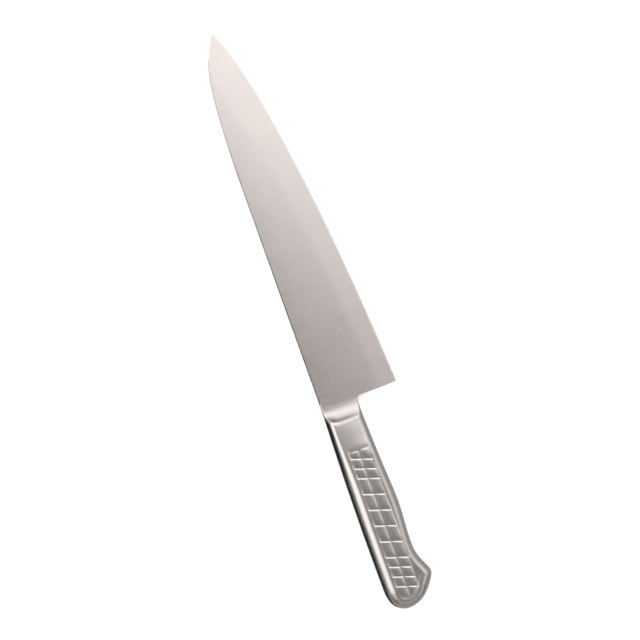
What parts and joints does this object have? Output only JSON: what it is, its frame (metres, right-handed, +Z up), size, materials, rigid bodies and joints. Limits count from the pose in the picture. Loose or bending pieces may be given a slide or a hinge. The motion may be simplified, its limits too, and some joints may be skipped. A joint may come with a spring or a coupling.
{
  "type": "chef knife",
  "caption": "All-steel chef's knife with a broad pointed blade, a solid neck and a hollow pressed handle with a tiled grip panel.",
  "frame": {"origin": "centre of the knife's box, on the surface that the lower rim of the handle lies on", "axes": "+X from the butt to the tip, +Y from the cutting edge to the spine, +Z up, square to the blade's middle plane"},
  "size_m": [0.3715, 0.0511, 0.013],
  "materials": {
    "blade_steel": "fine satin, ground straight across the blade from spine to edge",
    "handle_steel": "soft bead-blasted satin with polished shoulders",
    "weld_steel": "ground flush and blended into the satin"
  },
  "bodies": {
    "root": {"blade": "blade_steel", "blade_weld": "weld_steel", "neck": "handle_steel", "neck_weld": "weld_steel", "handle_shell_upper": "handle_steel", "handle_shell_lower": "handle_steel", "seam_weld": "weld_steel"}
  },
  "joints": []
}
